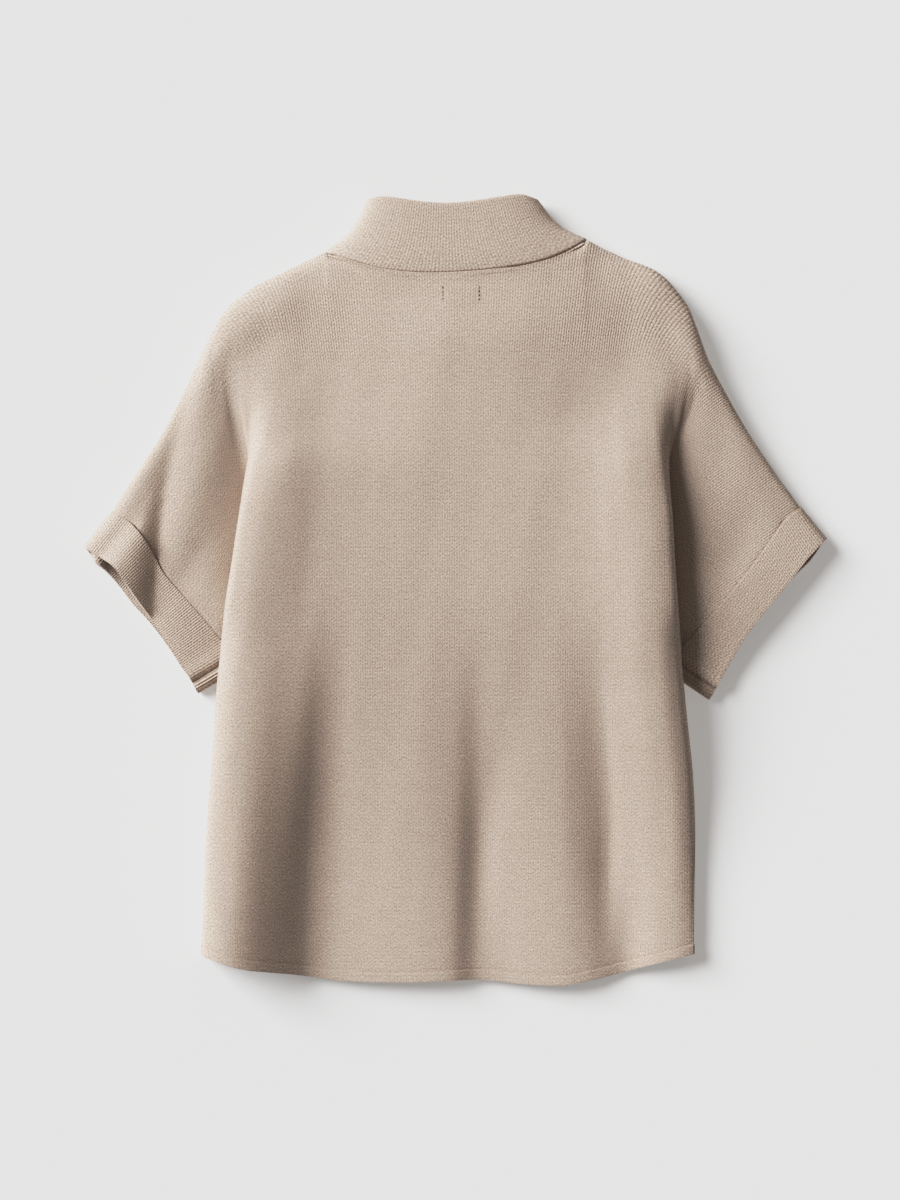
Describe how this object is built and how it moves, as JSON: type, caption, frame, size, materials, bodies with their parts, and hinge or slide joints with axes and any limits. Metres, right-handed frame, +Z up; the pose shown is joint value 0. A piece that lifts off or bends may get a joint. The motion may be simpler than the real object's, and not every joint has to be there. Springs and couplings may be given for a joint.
{
  "type": "cardigan",
  "caption": "Short-sleeved, high-necked knit cardigan lying flat with its back up; neck, cuffs and hem are open.",
  "frame": {"origin": "centre of the garment's outline, on the surface it lies on", "axes": "+X across the garment, to the right of the picture; +Y from the hem to the collar; +Z up, away from the surface, with the garment's back on top"},
  "size_m": [0.6532, 0.6938, 0.0438],
  "materials": {
    "knit": "matte fine knit",
    "rib": "matte fine knit, doubled",
    "band": "matte fine knit, doubled"
  },
  "bodies": {
    "root": {"back_panel": "knit", "front_left_panel": "knit", "front_right_panel": "knit", "collar": "rib", "cuff_left": "rib", "cuff_right": "rib", "hem_band_back": "band", "hem_band_front_left": "band", "hem_band_front_right": "band"}
  },
  "joints": []
}
